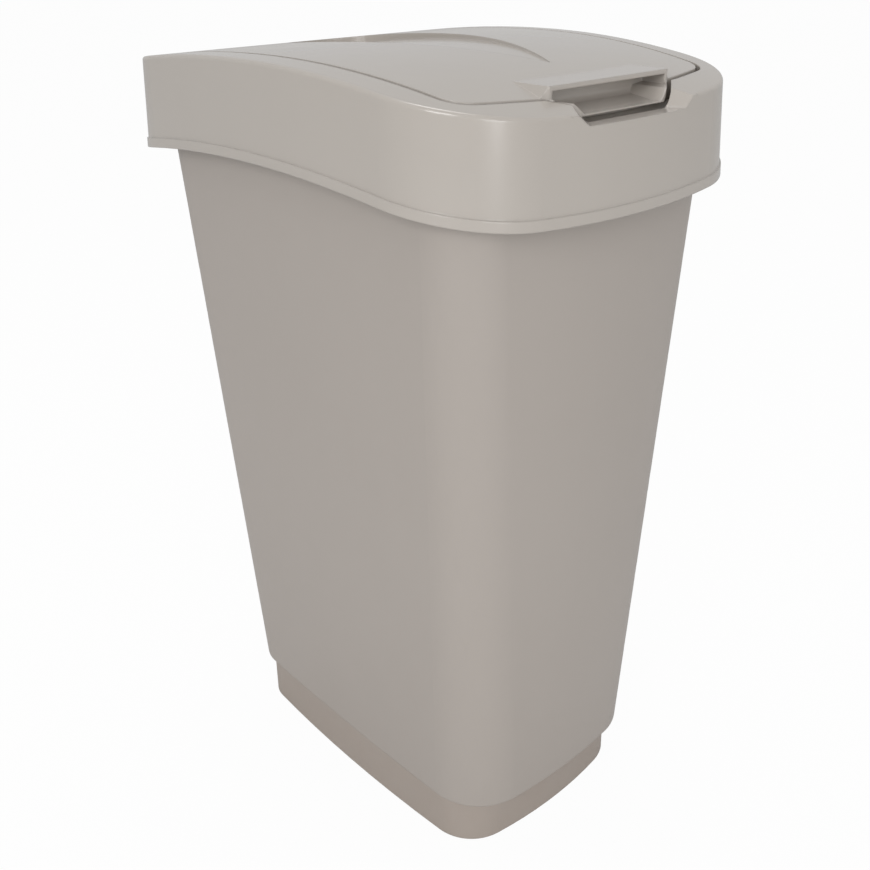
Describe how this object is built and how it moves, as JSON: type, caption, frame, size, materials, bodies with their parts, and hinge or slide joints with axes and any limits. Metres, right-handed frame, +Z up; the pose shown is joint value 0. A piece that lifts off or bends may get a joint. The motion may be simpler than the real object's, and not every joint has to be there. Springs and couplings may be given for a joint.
{
  "type": "swing lid recycling bin",
  "caption": "Tall tapered plastic bin with a recessed plinth, an arched lift-off lid frame and a hinged push lid with a finger grip.",
  "frame": {"origin": "centre of the bin's bounding box in plan, on the floor under the plinth", "axes": "+Z up, -Y towards the front with the finger grip, +X across the bin"},
  "size_m": [0.298, 0.4009, 0.6072],
  "materials": {
    "bin_body": "fine satin grain, warm greige polypropylene",
    "lid_frame": "satin gloss, warm greige polypropylene",
    "swing_lid": "satin gloss, warm greige polypropylene",
    "pivot_pin": "smooth moulded plastic"
  },
  "bodies": {
    "bin": {"bin_body": "bin_body"},
    "frame": {"lid_frame": "lid_frame"},
    "lid": {"swing_lid": "swing_lid", "left_pivot_pin": "pivot_pin", "right_pivot_pin": "pivot_pin"}
  },
  "joints": [
    {"name": "frame_lift", "type": "slide", "parent": "bin", "child": "frame", "axis": [0, 0, 1], "range_m": [0, 0.12]},
    {"name": "lid_swing", "type": "hinge", "parent": "frame", "child": "lid", "pos_m": [0, 0.03, 0.5921], "axis": [-1, 0, 0], "range_deg": [0, 70]}
  ]
}
